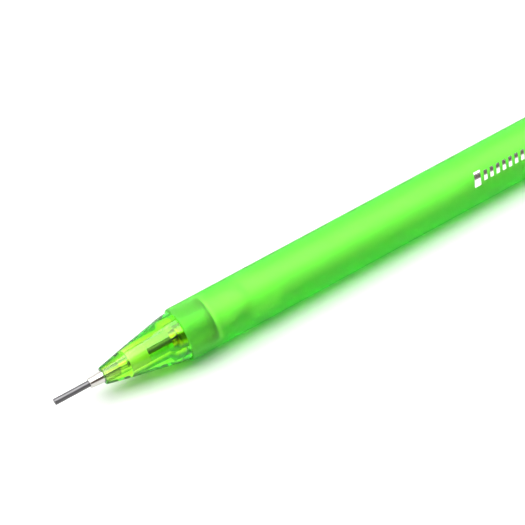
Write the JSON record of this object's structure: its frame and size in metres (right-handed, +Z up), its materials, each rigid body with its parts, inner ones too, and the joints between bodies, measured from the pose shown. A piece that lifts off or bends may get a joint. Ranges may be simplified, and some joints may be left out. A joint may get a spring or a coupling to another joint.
{
  "type": "lead holder",
  "caption": "Push-button lead holder for thick leads: round frosted barrel, clear screwed-on nose cone, steel guide, clutch, lead store, eraser and button.",
  "frame": {"origin": "on the pencil's axis, where the barrel's parallel wall begins behind its rounded front rim", "axes": "X along the pencil with the point towards -X and the button towards +X, +Z up as it lies on a table"},
  "size_m": [0.1493, 0.011, 0.011],
  "materials": {
    "barrel_resin": "frosted translucent green, injection moulded",
    "nose_resin": "polished clear green, injection moulded",
    "button_resin": "polished clear green, injection moulded",
    "guide_steel": "turned and polished",
    "clutch_brass": "turned",
    "lead_graphite": "fired graphite lead with a soft metallic sheen",
    "retainer_rubber": "moulded, pale",
    "inner_resin": "moulded, natural",
    "spring_steel": "drawn wire",
    "tube_resin": "extruded, milky",
    "eraser_vinyl": "matt white vinyl"
  },
  "bodies": {
    "root": {"barrel": "barrel_resin", "chuck_sleeve": "inner_resin", "return_spring": "spring_steel"},
    "tip": {"lead_guide": "guide_steel", "lead_retainer": "retainer_rubber"},
    "nose": {"nose_cone": "nose_resin"},
    "knock": {"chuck": "clutch_brass", "tube_joint": "inner_resin", "lead_tube": "tube_resin", "spare_lead_1": "lead_graphite", "spare_lead_2": "lead_graphite", "spare_lead_3": "lead_graphite"},
    "clutch_ring": {"chuck_ring": "clutch_brass"},
    "lead": {"active_lead": "lead_graphite"},
    "eraser": {"eraser_holder": "inner_resin", "eraser": "eraser_vinyl"},
    "cap": {"button_cap": "button_resin"}
  },
  "joints": [
    {"name": "nose_slide", "type": "slide", "parent": "root", "child": "tip", "axis": [-1, 0, 0], "range_m": [0, 0.0046]},
    {"name": "nose_turn", "type": "hinge", "parent": "tip", "child": "nose", "pos_m": [0, 0, 0], "axis": [-1, 0, 0], "range_deg": [0, 1800]},
    {"name": "knock_slide", "type": "slide", "parent": "root", "child": "knock", "axis": [-1, 0, 0], "range_m": [0, 0.003], "stiffness_N_per_m": 1200, "springref_m": -0.003, "deforming": ["return_spring"]},
    {"name": "ring_slide", "type": "slide", "parent": "root", "child": "clutch_ring", "axis": [-1, 0, 0], "range_m": [0, 0.0023]},
    {"name": "lead_feed", "type": "slide", "parent": "clutch_ring", "child": "lead", "axis": [-1, 0, 0], "range_m": [-0.0075, 0.012]},
    {"name": "eraser_pull", "type": "slide", "parent": "knock", "child": "eraser", "axis": [1, 0, 0], "range_m": [0, 0.006]},
    {"name": "cap_pull", "type": "slide", "parent": "eraser", "child": "cap", "axis": [1, 0, 0], "range_m": [0, 0.016]}
  ],
  "couplings": [
    {"joint": "nose_slide", "follows": "nose_turn", "m_per_rad": 0.00014324},
    {"joint": "ring_slide", "follows": "knock_slide", "ratio": 0.75}
  ]
}
